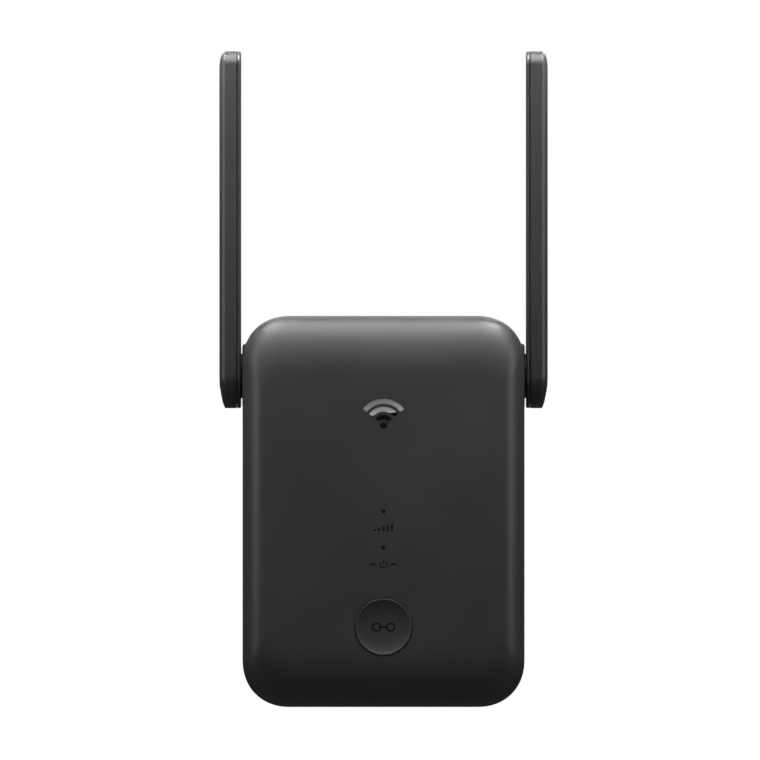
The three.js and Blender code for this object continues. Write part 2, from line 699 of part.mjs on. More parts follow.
// A thin spring washer between the case's wall and the clip keeps the hinge stiff.
function frictionWasher(side) {
  const inner = HINGE.neckRadius + 0.2;
  return turnedOnHinge(side, [
    [inner, grooveTo + 0.15], [4.8, grooveTo + 0.15], [5.4, padInner - 0.4], [5.4, padInner - 0.15],
    [inner, padInner - 0.15],
  ], 16);
}

function retainingClip(side) {
  const ends = [side * (grooveFrom + 0.15), side * (grooveTo - 0.15)].sort((a, b) => a - b);
  const ring = tube(4.4, HINGE.neckRadius - 0.5, "x", ...ends, [0, hingeY, HINGE.height], 16);
  const mouth = block([-60, 60], [hingeY - 1.6, hingeY + 1.6], [HINGE.height - 6, HINGE.height]);
  return cut(ring, mouth);
}

// The radiator is a slim printed board inside the paddle, with a foot that reaches the hinge axis.
function radiatorBoard(side) {
  const x = [shellInner + 1.5, shellInner + 2.1].map((place) => side * place).sort((a, b) => a - b);
  return joined(
    block(x, [hingeY - 2.2, hingeY + 2.2], [HINGE.height - 2.5, HINGE.height + 14]),
    block(x, [hingeY - 5, hingeY + 5], [HINGE.height + 12, HINGE.height + ANTENNA.reach - 6]),
  );
}

// The coaxial lead runs down the hinge's bore and forward to the main board.
function coaxLead(side) {
  const route = [
    [shellInner + 1.3, hingeY, HINGE.height],
    [halfWidth - 6, hingeY, HINGE.height],
    [26.5, hingeY - 0.3, HINGE.height - 0.2],
    [22.5, hingeY - 3.2, HINGE.height - 1],
    [18.5, boardBackY + 2.4, HINGE.height - 2.5],
    [14, boardBackY + 1.2, HINGE.height - 3],
  ].map(([x, y, z]) => new THREE.Vector3(side * x, y, z));
  const curve = new THREE.CatmullRomCurve3(route, false, "centripetal");
  const section = new THREE.Shape().absarc(0, 0, 0.6, 0, 2 * Math.PI);
  return solid(new THREE.ExtrudeGeometry(section, { steps: 18, curveSegments: 4, extrudePath: curve }));
}

// ---------- assembly ----------
addPiece("front_cover", frontCover(), "casePlastic");
addPiece("rear_cover", rearCover(), "casePlastic");
addPiece("plug_housing", plugHousing(), "plugPlastic");
for (const [name, x] of Object.entries(pinPlaces)) {
  addPiece(`plug_pin_${name}`, plugPin(x), "nickel");
  addPiece(`pin_sleeve_${name}`, pinSleeve(x), "darkPlastic");
  addPiece(`mains_contact_${name}`, mainsContact(x), "copper");
}

addPiece("front_emblem", frontEmblem(), "emblemMetal");
addPiece("pair_button", pairButton(), "buttonPlastic");
addPiece("pair_switch_plunger", pairSwitchPlunger(), "darkPlastic");
addPiece("pair_switch_body", pairSwitchBody(), "tinPlate");
addPiece("button_return_pad", buttonReturnPad(), "silicone");
for (const name of ["signal", "power"]) {
  addPiece(`light_pipe_${name}`, lightPipe(LIGHTS[name]), "clearPlastic");
  addPiece(`led_${name}`, led(LIGHTS[name]), "ledResin");
}

addPiece("main_board", mainBoard(), "circuitBoard");
addPiece("radio_shield", radioShield(), "tinPlate");
addPiece("processor", squareOn(processorMiddle, 6, boardBackY + 0.1, chipTopY), "chipEpoxy");
addPiece("thermal_pad", squareOn(processorMiddle, 5.5, chipTopY + 0.1, padTopY), "thermalPad");
addPiece("heat_sink", heatSink(), "aluminium");
addPiece("memory_chip", squareOn({ x: 17, z: -6 }, 3.5, boardFrontY - 1.1, boardFrontY - 0.1), "chipEpoxy");
addPiece("reset_switch_body", resetSwitchBody(), "tinPlate");
addPiece("reset_switch_plunger", resetSwitchPlunger(), "darkPlastic");
addPiece("board_link_header", boardLink(), "jackPlastic");
addPiece("network_transformer",
  block([-7.5, 7.5], [boardBackY + 0.1, boardBackY + 5.6], [-24.5, -16]), "chipEpoxy");
addPiece("ethernet_jack_housing", jackHousing(), "jackPlastic");
addPiece("ethernet_jack_shield", jackShield(), "tinPlate");
addPiece("ethernet_contacts", jackContacts(), "gold");

addPiece("power_board", powerBoard(), "circuitBoard");
addPiece("transformer_core", transformerCore(), "ferrite");
addPiece("transformer_winding", transformerWinding(), "windingTape");
addPiece("input_capacitor", standingCan(-14, -8, 5, 13), "capacitorSleeve");
addPiece("output_capacitor", standingCan(18, -8, 4, 11), "capacitorSleeve");
addPiece("fuse", standingCan(2, -12, 2.2, 7), "fuseSleeve");
addPiece("bridge_rectifier", block([1, 9], [onPowerBoard - 3, onPowerBoard], [-5, 2]), "chipEpoxy");

for (const [name, side] of [["left", -1], ["right", 1]]) {
  for (const [level, z] of [["upper", SCREW_POST.z], ["lower", -SCREW_POST.z]]) {
    const x = side * SCREW_POST.x;
    addPiece(`case_screw_${level}_${name}`, screw(x, z, backY - 0.6, -1, 2.3, 1.2, 12), "steel");
  }
  addPiece(`board_screw_${name}`,
    screw(side * BOARD_SCREW.x, BOARD_SCREW.z, boardBackY + 1.5, -1, 2.2, 0.8, 6.6), "steel");
  addPiece(`${name}_antenna_outer_shell`, antennaOuterShell(side), "casePlastic");
  addPiece(`${name}_antenna_inner_shell`, antennaInnerShell(side), "casePlastic");
  addPiece(`${name}_hinge_shaft`, hingeShaft(side), "darkPlastic");
  addPiece(`${name}_friction_washer`, frictionWasher(side), "steel");
  addPiece(`${name}_retaining_clip`, retainingClip(side), "steel");
  addPiece(`${name}_radiator_board`, radiatorBoard(side), "antennaBoard");
  addPiece(`${name}_coax_lead`, coaxLead(side), "coaxJacket");
}

export default model;
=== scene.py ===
# The looks of the Wi-Fi range extender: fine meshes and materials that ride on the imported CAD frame.
# Lengths are in metres, in the frame's own axes: x to the right, y to the back, z up.
import json
import math

import bpy
from mathutils import Matrix, Vector


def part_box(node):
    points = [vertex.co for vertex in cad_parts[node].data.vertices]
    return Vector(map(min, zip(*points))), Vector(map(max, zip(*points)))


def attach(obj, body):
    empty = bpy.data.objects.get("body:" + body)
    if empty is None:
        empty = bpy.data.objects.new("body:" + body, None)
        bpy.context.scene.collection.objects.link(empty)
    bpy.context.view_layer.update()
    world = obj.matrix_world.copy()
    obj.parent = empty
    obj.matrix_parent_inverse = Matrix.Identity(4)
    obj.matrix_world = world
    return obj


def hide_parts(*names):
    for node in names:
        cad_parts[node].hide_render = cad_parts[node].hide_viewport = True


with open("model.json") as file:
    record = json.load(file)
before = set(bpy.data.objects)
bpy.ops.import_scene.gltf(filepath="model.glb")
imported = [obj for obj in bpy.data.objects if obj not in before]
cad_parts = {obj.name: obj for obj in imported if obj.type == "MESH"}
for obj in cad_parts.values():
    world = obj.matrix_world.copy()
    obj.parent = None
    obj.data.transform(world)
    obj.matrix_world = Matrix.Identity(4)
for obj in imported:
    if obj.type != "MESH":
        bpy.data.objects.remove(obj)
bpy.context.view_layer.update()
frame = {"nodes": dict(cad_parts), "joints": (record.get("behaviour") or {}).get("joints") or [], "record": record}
MM = 0.001
QUARTER = math.pi / 2
SIDES = {"left": -1, "right": 1}
LIGHTS = ("signal", "power")
SCREWS = [f"case_screw_{level}_{side}" for level in ("upper", "lower") for side in SIDES]

# ---------- places and sizes read from the frame ----------
front_low, front_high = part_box("front_cover")
rear_low, rear_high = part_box("rear_cover")
button_low, button_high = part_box("pair_button")
outer_low, outer_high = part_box("right_antenna_outer_shell")
joints = {joint["name"]: joint for joint in frame["joints"]}
HALF_W = rear_high.x
HALF_H = rear_high.z
BUTTON_PROUD = 0.02 * MM
FRONT_Y = front_low.y + BUTTON_PROUD  # the button's rim is then level with the CAD box
SEAM_FRONT_Y = front_high.y
BACK_Y = rear_high.y
LIP_Y = rear_low.y
PAD_X = front_high.x
PLUG_FACE_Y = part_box("plug_housing")[1].y
BUTTON_Z = (button_low.z + button_high.z) / 2
HINGE = Vector(joints["right_antenna_hinge"]["pos_m"])
ANTENNA_HALF = (outer_high.y - outer_low.y) / 2
ANTENNA_TOP = outer_high.z
ANTENNA_OUTER_X = outer_high.x
ANTENNA_SEAM_X = outer_low.x
ANTENNA_INNER_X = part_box("right_antenna_inner_shell")[0].x

# ---------- case ----------
WALL = 2.0 * MM
SEAM = 0.3 * MM
SEAM_REAR_Y = SEAM_FRONT_Y + SEAM
SEAM_EDGE = 0.15 * MM
CORNER = 11.6 * MM
CORNER_FULLNESS = 2.15
FRONT_FILLET_DEPTH = 7.5 * MM
SIDE_REACH = 6.6 * MM
END_REACH = 15.0 * MM
END_POWER = 2.4
BACK_FILLET = 2.5 * MM
LIP_THICKNESS = 0.9 * MM
LIP_GAP = 0.06 * MM
PAD_RADIUS = 8.0 * MM
PAD_EDGE = 0.8 * MM
PAD_ROOT = 2.7 * MM
SHAFT_HOLE = 3.5 * MM
SHAFT_HOLE_DEPTH = 5.0 * MM
JACK_GAP = 0.25 * MM
RESET_HOLE = 1.0 * MM
VENT_WIDTH = 1.6 * MM
VENTS_TOP = [(-16 + 4 * i) * MM for i in range(9)]
VENTS_UNDER = [side * (14.8 + 3.2 * i) * MM for side in (-1, 1) for i in range(4)]
VENTS_TOP_Y = (HINGE.y - 5 * MM, HINGE.y + 7 * MM)
VENTS_UNDER_Y = (HINGE.y - 3 * MM, HINGE.y + 7 * MM)
RIB_GROOVE = {"length": 30 * MM, "width": 1.1 * MM, "depth": 0.5 * MM}
RIB_GROOVE_PLACES = [side * (24 + 2.6 * i) * MM for side in (-1, 1) for i in range(6)]
FINE_EDGE = 0.12 * MM

# ---------- plug and screws ----------
PLUG_RADIUS = 17.65 * MM
PLUG_FLAT = 13.05 * MM
PLUG_NOTCH_HALF = 3.0 * MM
PLUG_NOTCH_DEPTH = 2.6 * MM
PLUG_NOSE = 0.9 * MM
PLUG_GAP = 0.25 * MM
PIN_RADIUS = 2.0 * MM
PIN_WAIST = 1.3 * MM
SLEEVE_HOLE = 2.1 * MM
SLEEVE_RADIUS = 1.9 * MM
SLEEVE_BORE = 1.45 * MM
SCREW_RECESS = 2.6 * MM
SCREW_HEAD = 2.3 * MM
SCREW_HEAD_HEIGHT = 1.4 * MM
SCREW_SHANK = 1.2 * MM
SCREW_SLOT = {"half_width": 0.3 * MM, "reach": 1.2 * MM, "depth": 0.9 * MM}

# ---------- front controls ----------
BUTTON_RADIUS = 7.1 * MM
BUTTON_OPENING = 7.24 * MM
BUTTON_DISH = 0.5 * MM
BUTTON_STEP = 0.22 * MM
BUTTON_LIP = 0.3 * MM
BUTTON_FOOT = 0.95 * MM
BUTTON_EDGE = 0.26 * MM
BUTTON_STEM = 1.6 * MM
FLANGE_GAP = 0.7 * MM
FLANGE_THICKNESS = 1.0 * MM
LIGHT_HOLE = 0.5 * MM
WINDOW_GAP = 0.06 * MM
GUIDE = {"sunk": 0.3 * MM, "radius": 1.0 * MM, "flange": 1.5 * MM}
EMBLEM_FOOT_Z = 21.3 * MM
EMBLEM_STEP = 1.95 * MM
EMBLEM_STROKE = 1.15 * MM
EMBLEM_DOT = 0.85 * MM
EMBLEM_SPREAD = math.radians(52)
INK_LIFT = 0.012 * MM
INK_SINK = 0.05 * MM
SIGNAL_SYMBOL_Z = -4.0 * MM
POWER_SYMBOL_Z = -13.0 * MM

# ---------- antennas ----------
TIP_RADIUS = 3.2 * MM
LEAST_CORNER = 0.4 * MM
ANTENNA_WALL = 1.2 * MM
PARTING_WIDTH = 0.45 * MM
PARTING_DEPTH = 0.5 * MM
PARTING_END_DEPTH = 0.08 * MM
INNER_EDGE = 0.4 * MM
FOOT_LEAN = 0.02
COLLAR_RADIUS = 5.5 * MM
COLLAR_GAP = 0.25 * MM
# pulled in at the long sides, at the tip and at the foot, and below the outer face, in mm
CROWN = [
    (0.0, 0.0, 0.0, 1.38), (0.02, 0.02, 0.02, 1.3), (0.07, 0.08, 0.06, 1.22), (0.3, 0.35, 0.7, 0.92),
    (0.53, 0.62, 1.7, 0.63), (0.62, 0.75, 2.1, 0.55), (0.78, 0.95, 2.6, 0.46), (1.15, 1.4, 3.3, 0.33),
    (1.7, 2.1, 4.2, 0.19), (2.5, 2.9, 5.0, 0.08), (3.6, 3.8, 5.6, 0.0),
]

# ---------- studio ----------
ROOM_LOW = 0.017
ROOM_HIGH = 0.1
FLOOR_Z = -0.9
CAMERA_DISTANCE = 8.0
CAMERA_X = -0.87 * MM
CAMERA_Z = 32.4 * MM
FRAME_WIDTH = 187.57 * MM
FRAME_DEPTH = 18 * MM  # how far behind the front face the frame has that width

PAST = 1.0 * MM  # how far a cutting shape reaches past the surface that it cuts


# ---------- mesh building ----------
def mesh_object(name, vertices, faces):
    mesh = bpy.data.meshes.new(name)
    mesh.from_pydata([tuple(v) for v in vertices], [], faces)
    mesh.validate()
    obj = bpy.data.objects.new(name, mesh)
    bpy.context.scene.collection.objects.link(obj)
    return obj


def turn_outwards(obj):
    """Makes a closed mesh's faces point out."""
    mesh = obj.data
    mesh.calc_loop_triangles()
    volume = 0.0
    for triangle in mesh.loop_triangles:
        a, b, c = (mesh.vertices[i].co for i in triangle.vertices)
        volume += a.dot(b.cross(c))
    if volume < 0:
        mesh.flip_normals()
    return obj


def skinned(name, rings):
    """A closed skin over rings of points that all have the same count, capped at both ends."""
    count = len(rings[0])
    vertices = [point for ring in rings for point in ring]
    faces = []
    for row in range(len(rings) - 1):
        for i in range(count):
            a = row * count + i
            b = row * count + (i + 1) % count
            faces.append((a, b, b + count, a + count))
    faces.append(tuple(reversed(range(count))))
    last = (len(rings) - 1) * count
    faces.append(tuple(range(last, last + count)))
    return turn_outwards(mesh_object(name, vertices, faces))


def on_axis(axis, across, up, along):
    """A point drawn across an axis: x takes (y, z), y takes (x, z) and z takes (x, y)."""
    if axis == "x":
        return Vector((along, across, up))
    if axis == "y":
        return Vector((across, along, up))
    return Vector((across, up, along))


def prism(name, outline, axis, start, end):
    return skinned(name, [[on_axis(axis, a, b, place) for a, b in outline] for place in (start, end)])


def oval(across, up, steps, centre, start, turn):
    """Points along an ellipse's arc; a full turn leaves out its last point, which is its first."""
    ends = 0 if math.isclose(abs(turn), 2 * math.pi) else 1
    return [
        (
            centre[0] + across * math.cos(start + turn * i / steps),
            centre[1] + up * math.sin(start + turn * i / steps),
        )
        for i in range(steps + ends)
    ]


def circle(radius, steps, centre=(0, 0), start=0.0, turn=2 * math.pi):
    return oval(radius, radius, steps, centre, start, turn)


def turned(name, profile, axis, centre, steps=64, closed=False):
    """A round piece. profile is [(radius, place along the axis)]; it starts and ends on the axis,
    or with closed it is a ring's section."""
    vertices = []
    rows = []
    middle = {"x": (centre[1], centre[2]), "y": (centre[0], centre[2]), "z": (centre[0], centre[1])}[axis]
    for radius, place in profile:
        if radius < 1e-9:
            rows.append([len(vertices)])
            vertices.append(on_axis(axis, *middle, place))
            continue
        rows.append(list(range(len(vertices), len(vertices) + steps)))
        vertices += [on_axis(axis, a, b, place) for a, b in circle(radius, steps, middle)]
    faces = []
    for near, far in zip(rows, rows[1:] + ([rows[0]] if closed else [])):
        if len(near) == 1 and len(far) == 1:
            continue
        for i in range(steps):
            j = (i + 1) % steps
            if len(near) == 1:
                faces.append((near[0], far[j], far[i]))
            elif len(far) == 1:
                faces.append((near[i], near[j], far[0]))
            else:
                faces.append((near[i], near[j], far[j], far[i]))
    return turn_outwards(mesh_object(name, vertices, faces))


def rod(name, radius, axis, start, end, centre, steps=48):
    return turned(name, [(0, start), (radius, start), (radius, end), (0, end)], axis, centre, steps)


def block(name, low, high):
    outline = [(low[0], low[2]), (high[0], low[2]), (high[0], high[2]), (low[0], high[2])]
    return prism(name, outline, "y", low[1], high[1])


def joined_objects(name, objects):
    """Several meshes as one object, without merging them."""
    vertices = []
    faces = []
    for obj in objects:
        first = len(vertices)
        vertices += [v.co.copy() for v in obj.data.vertices]
        faces += [tuple(first + i for i in p.vertices) for p in obj.data.polygons]
        bpy.data.objects.remove(obj)
    return mesh_object(name, vertices, faces)


def bake_modifiers(obj):
    graph = bpy.context.evaluated_depsgraph_get()
    mesh = bpy.data.meshes.new_from_object(obj.evaluated_get(graph))
    obj.modifiers.clear()
    obj.data = mesh
    return obj


def boolean(obj, tools, operation):
    tool = joined_objects(obj.name + "_tool", tools)
    modifier = obj.modifiers.new(operation.lower(), "BOOLEAN")
    modifier.operation = operation
    modifier.solver = "EXACT"
    modifier.use_self = operation == "UNION"
    modifier.object = tool
    bake_modifiers(obj)
    bpy.data.objects.remove(tool)
    return obj


def cut(obj, *tools):
    return boolean(obj, tools, "DIFFERENCE")


def add(obj, *tools):
    for tool in tools:
        boolean(obj, [tool], "UNION")
    return obj


def soften(obj, width=0.0, segments=3, angle=38):
    """Rounds edges sharper than angle, and shades the rest smooth with flat faces kept flat."""
    if width:
        bevel = obj.modifiers.new("edges", "BEVEL")
        bevel.width = width
        bevel.segments = segments
        bevel.limit_method = "ANGLE"
        bevel.angle_limit = math.radians(angle)
        bevel.use_clamp_overlap = True
        bevel.harden_normals = False
        bake_modifiers(obj)
    obj.data.shade_smooth()
    obj.data.set_sharp_from_angle(angle=math.radians(angle))
    weighted = obj.modifiers.new("normals", "WEIGHTED_NORMAL")
    weighted.keep_sharp = True
    weighted.weight = 60
    bake_modifiers(obj)
    return obj


# ---------- materials ----------
class Nodes:
    """Short calls for building one material's node tree."""

    def __init__(self, name):
        self.material = bpy.data.materials.new(name)
        self.material.use_nodes = True
        self.tree = self.material.node_tree
        self.shader = self.tree.nodes["Principled BSDF"]
        self.place = self.new("ShaderNodeTexCoord").outputs["Object"]

    def new(self, kind, **values):
        node = self.tree.nodes.new(kind)
        for key, value in values.items():
            if key in node.inputs:
                node.inputs[key].default_value = value
            else:
                setattr(node, key, value)
        return node

    def link(self, source, target):
        self.tree.links.new(source, target)

    def set(self, **values):
        for key, value in values.items():
            self.shader.inputs[key.replace("_", " ")].default_value = value

    def scaled(self, stretch):
        mapping = self.new("ShaderNodeMapping", Scale=stretch)
        self.link(self.place, mapping.inputs["Vector"])
        return mapping.outputs["Vector"]

    def noise(self, size, detail=3.0, rough=0.55, stretch=(1, 1, 1)):
        """Noise whose features are about size metres across."""
        node = self.new("ShaderNodeTexNoise", Scale=1 / size, Detail=detail, Roughness=rough)
        self.link(self.scaled(stretch), node.inputs["Vector"])
        return node.outputs["Fac"]

    def ramp(self, value, stops):
        node = self.new("ShaderNodeValToRGB")
        while len(node.color_ramp.elements) < len(stops):
            node.color_ramp.elements.new(0.5)
        for element, (place, colour) in zip(node.color_ramp.elements, stops):
            element.position = place
            element.color = (*colour, 1)
        self.link(value, node.inputs["Fac"])
        return node.outputs["Color"]

    def span(self, value, low, high, from_low=0.35, from_high=0.65):
        node = self.new("ShaderNodeMapRange")
        node.inputs["From Min"].default_value = from_low
        node.inputs["From Max"].default_value = from_high
        node.inputs["To Min"].default_value = low
        node.inputs["To Max"].default_value = high
        self.link(value, node.inputs["Value"])
        return node.outputs["Result"]

    def mix(self, factor, first, second):
        node = self.new("ShaderNodeMixShader")
        for socket, output in zip(node.inputs, (factor, first, second)):
            self.link(output, socket)
        return node.outputs[0]

    def colour(self, output):
        self.link(output, self.shader.inputs["Base Color"])

    def roughness(self, output):
        self.link(output, self.shader.inputs["Roughness"])

    def bump(self, height, depth, strength=1.0):
        node = self.new("ShaderNodeBump", Strength=strength, Distance=depth)
        self.link(height, node.inputs["Height"])
        self.link(node.outputs["Normal"], self.shader.inputs["Normal"])


def shade(colour, factor):
    return tuple(min(1, c * factor) for c in colour)


def grey(level):
    return (level, level, level)


def moulded_plastic(name, colour, roughness, grain=0.22 * MM, depth=0.006 * MM, specular=0.5):
    """Injection-moulded plastic: a fine eroded grain, faint flow marks and handled patches."""
    n = Nodes(name)
    fine = n.noise(grain, detail=4)
    cloud = n.noise(28 * MM, detail=2)
    n.colour(n.ramp(cloud, [(0.3, shade(colour, 0.93)), (0.7, shade(colour, 1.07))]))
    rough = n.new("ShaderNodeMath", operation="ADD")
    n.link(n.span(fine, -0.025, 0.025), rough.inputs[0])
    n.link(n.span(cloud, roughness - 0.02, roughness + 0.02), rough.inputs[1])
    n.roughness(rough.outputs[0])
    n.bump(fine, depth)
    n.set(Specular_IOR_Level=specular)
    return n.material


def plated_metal(name, colour, roughness, stretch=(1, 1, 1), mark=0.4 * MM, depth=0.002 * MM):
    """Metal with fine drawn marks along one direction and slightly uneven polish."""
    n = Nodes(name)
    n.set(Metallic=1.0)
    marks = n.noise(mark, detail=3, stretch=stretch)
    tarnish = n.noise(6 * MM, detail=3)
    n.colour(n.ramp(tarnish, [(0.3, shade(colour, 0.9)), (0.7, shade(colour, 1.04))]))
    n.roughness(n.span(marks, roughness - 0.06, roughness + 0.08))
    n.bump(marks, depth)
    return n.material


def circuit_board(name, mask, trace):
    """Solder mask over copper: tracks show as slightly lighter lines on a faint glass weave."""
    n = Nodes(name)
    cells = n.new("ShaderNodeTexVoronoi", Scale=1 / (2.6 * MM), feature="DISTANCE_TO_EDGE")
    n.link(n.place, cells.inputs["Vector"])
    n.colour(n.ramp(cells.outputs["Distance"], [(0.05, trace), (0.09, mask)]))
    weave = n.noise(0.3 * MM, detail=1)
    n.roughness(n.span(weave, 0.32, 0.48))
    n.bump(cells.outputs["Distance"], 0.02 * MM, 0.5)
    return n.material


def emblem_painted_reflection(name):
    """A metallic inlay with a painted reflection in its colour: satin silver that brightens down to a slanted
    line, and black below.
    """
    n = Nodes(name)
    slant = n.new("ShaderNodeVectorMath", operation="DOT_PRODUCT")
    n.link(n.place, slant.inputs[0])
    slant.inputs[1].default_value = (-0.15, 0, 1)
    height = n.span(slant.outputs["Value"], 0, 1, EMBLEM_FOOT_Z - 0.2 * MM, EMBLEM_FOOT_Z + 6.6 * MM)
    # painted reflection: the colour brightens towards the slanted line and turns black below it
    reflection_levels = [(0.0, 0.006), (0.42, 0.004), (0.45, 0.85), (0.56, 0.6), (1.0, 0.3)]
    n.colour(n.ramp(height, [(place, (level, level, level * 1.01)) for place, level in reflection_levels]))
    brushed = n.noise(0.15 * MM, detail=2, stretch=(0.1, 1, 1))
    n.roughness(n.span(brushed, 0.3, 0.42))
    n.set(Metallic=0.6)
    n.bump(brushed, 0.002 * MM)
    return n.material


def light_guide(name):
    """Smoked clear plastic, which looks nearly black when its light is off."""
    n = Nodes(name)
    n.set(IOR=1.49)
    haze = n.noise(0.5 * MM, detail=2)
    n.colour(n.ramp(haze, [(0.3, (0.004, 0.004, 0.004)), (0.7, (0.008, 0.008, 0.009))]))
    n.roughness(n.span(haze, 0.25, 0.4))
    return n.material


def soft_rubber(name, colour):
    n = Nodes(name)
    skin = n.noise(0.35 * MM, detail=4)
    n.colour(n.ramp(skin, [(0.3, shade(colour, 0.9)), (0.7, shade(colour, 1.1))]))
    n.roughness(n.span(skin, 0.6, 0.8))
    n.set(Subsurface_Weight=0.1, Subsurface_Scale=0.5 * MM)
    n.bump(skin, 0.01 * MM)
    return n.material


def wrapped_tape(name, colour):
    """Glossy tape wound in turns that show as fine steps."""
    n = Nodes(name)
    turns = n.new("ShaderNodeTexWave", Scale=1 / (5.2 * MM), Distortion=0.4, Detail=1.0)
    turns.bands_direction = "Z"
    n.link(n.place, turns.inputs["Vector"])
    n.colour(n.ramp(turns.outputs["Fac"], [(0.2, shade(colour, 0.8)), (0.8, colour)]))
    n.roughness(n.span(turns.outputs["Fac"], 0.25, 0.4, 0, 1))
    n.bump(turns.outputs["Fac"], 0.05 * MM, 0.6)
    return n.material


CHARCOAL = (0.030, 0.030, 0.0305)
MATERIALS = {
    "case_plastic": moulded_plastic("case plastic", CHARCOAL, 0.46),
    # painted shade: the antennas take the case plastic darkened by 15 percent, so that they look darker than the
    # case under the same light
    "antenna_plastic_painted_shade": moulded_plastic("antenna plastic painted shade", shade(CHARCOAL, 0.85), 0.37),
    "button_plastic": moulded_plastic("button plastic", shade(CHARCOAL, 0.95), 0.42),
    "plug_plastic": moulded_plastic("plug plastic", shade(CHARCOAL, 0.9), 0.5, grain=0.3 * MM),
    "dark_plastic": moulded_plastic("dark plastic", (0.012, 0.012, 0.0125), 0.45),
    "jack_plastic": moulded_plastic("jack plastic", (0.01, 0.01, 0.0105), 0.4),
    "chip_epoxy": moulded_plastic("chip epoxy", (0.016, 0.016, 0.017), 0.55, grain=0.12 * MM),
    "ferrite": moulded_plastic("sintered ferrite", (0.05, 0.05, 0.055), 0.7, grain=0.2 * MM, depth=0.02 * MM),
    "label_ink": moulded_plastic("label ink", (0.004, 0.004, 0.0042), 0.75, specular=0.12),
    "emblem_metal": emblem_painted_reflection("emblem painted reflection"),
    "clear_plastic": light_guide("light guide"),
    "nickel": plated_metal("nickel plate", (0.62, 0.6, 0.56), 0.22, stretch=(1, 0.08, 1)),
    "steel": plated_metal("zinc steel", (0.5, 0.51, 0.53), 0.34, stretch=(1, 0.3, 1)),
    "tin_plate": plated_metal("tin plate", (0.56, 0.57, 0.58), 0.36, stretch=(0.1, 1, 1)),
    "gold": plated_metal("gold plate", (0.8, 0.55, 0.2), 0.25, stretch=(1, 1, 0.1)),
    "copper": plated_metal("spring bronze", (0.62, 0.34, 0.18), 0.32, stretch=(1, 0.1, 1)),
    "aluminium": plated_metal("blasted aluminium", (0.56, 0.57, 0.58), 0.48, mark=0.2 * MM),
    "circuit_board": circuit_board("circuit board", (0.008, 0.05, 0.02), (0.02, 0.11, 0.045)),
    "antenna_board": circuit_board("antenna board", (0.006, 0.03, 0.014), (0.3, 0.16, 0.07)),
    "led_resin": soft_rubber("led resin", (0.75, 0.72, 0.6)),
    "silicone": soft_rubber("silicone", (0.2, 0.21, 0.22)),
    "thermal_pad": soft_rubber("thermal pad", (0.25, 0.33, 0.42)),
    "winding_tape": wrapped_tape("winding tape", (0.68, 0.45, 0.04)),
    "capacitor_sleeve": wrapped_tape("capacitor sleeve", (0.02, 0.035, 0.09)),
    "fuse_sleeve": wrapped_tape("fuse sleeve", (0.14, 0.06, 0.03)),
    "coax_jacket": moulded_plastic("coax jacket", (0.24, 0.25, 0.26), 0.35),
}


def piece(obj, body, slot, *nodes, finish=None):
    """Gives a fine piece its material and its body, and hides the CAD nodes that it stands for."""
    obj.data.materials.clear()
    obj.data.materials.append(MATERIALS[finish or slot])
    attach(obj, body)
    if nodes:
        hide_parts(*nodes)
    return obj


def finish_cad_nodes():
    """The material of every CAD piece that stays."""
    slots = {row["node"]: row["material_slot"] for row in frame["record"]["subparts"]}
    for name, obj in frame["nodes"].items():
        if not obj.material_slots:
            obj.data.materials.append(None)
        for slot in obj.material_slots:
            slot.material = MATERIALS[slots[name]]


# ---------- case ----------
def case_outline(side_pull, end_pull, steps=20):
    """The case's front outline, pulled in at the sides and at both ends: four corners a little fuller
    than quarter circles."""
    radius = CORNER - side_pull
    middle_x = HALF_W - CORNER
    middle_z = HALF_H - end_pull - radius
    points = []
    for quarter, (side, end) in enumerate([(1, 1), (-1, 1), (-1, -1), (1, -1)]):
        for step in range(steps + 1):
            angle = (quarter + step / steps) * QUARTER
            across = math.copysign(abs(math.cos(angle)) ** (2 / CORNER_FULLNESS), math.cos(angle))
            up = math.copysign(abs(math.sin(angle)) ** (2 / CORNER_FULLNESS), math.sin(angle))
            points.append((side * middle_x + radius * across, end * middle_z + radius * up))
    return points


def case_ring(side_pull, y, end_pull=None):
    outline = case_outline(side_pull, side_pull if end_pull is None else end_pull)
    return [Vector((x, y, z)) for x, z in outline]


def front_rings(inset=0.0, steps=16):
    """Rings from the face to the side: a quarter ellipse at the sides, and a longer, softer curve at
    the top and bottom."""
    rings = []
    for step in range(steps + 1):
        angle = step / steps * QUARTER
        deep = (FRONT_FILLET_DEPTH - inset) * (1 - math.cos(angle))
        side_pull = (SIDE_REACH - inset) * (1 - math.sin(angle))
        end_pull = (END_REACH - inset) * (1 - math.sin(angle) ** (2 / END_POWER))
        rings.append(case_ring(inset + side_pull, FRONT_Y + inset + deep, inset + end_pull))
    return rings


def back_rings(steps=10):
    """Rings round the back edge's quarter circle, from the side to the back face."""
    rings = []
    for step in reversed(range(steps + 1)):
        angle = step / steps * QUARTER
        pull = BACK_FILLET * (1 - math.sin(angle))
        rings.append(case_ring(pull, BACK_Y - BACK_FILLET * (1 - math.cos(angle))))
    return rings


def emblem_shapes(grow, start, end, name):
    """The mark's dot and three arcs, each grown all round."""
    shapes = [rod(name + "_dot", EMBLEM_DOT + grow, "y", start, end, (0, 0, EMBLEM_FOOT_Z), 40)]
    centre = (0, EMBLEM_FOOT_Z)
    for index in (1, 2, 3):
        middle = index * EMBLEM_STEP
        spread = EMBLEM_SPREAD + grow / middle
        begin = QUARTER - spread
        outline = circle(middle + EMBLEM_STROKE / 2 + grow, 28, centre, begin, 2 * spread)
        outline += circle(middle - EMBLEM_STROKE / 2 - grow, 28, centre, begin + 2 * spread, -2 * spread)
        shapes.append(prism(f"{name}_arc_{index}", outline, "y", start, end))
    return shapes


def stadium(length, width, centre, steps=8):
    """A slot's outline with round ends, along the first drawing direction."""
    half = (length - width) / 2
    right = circle(width / 2, steps, (centre[0] + half, centre[1]), -QUARTER, math.pi)
    left = circle(width / 2, steps, (centre[0] - half, centre[1]), QUARTER, math.pi)
    return right + left


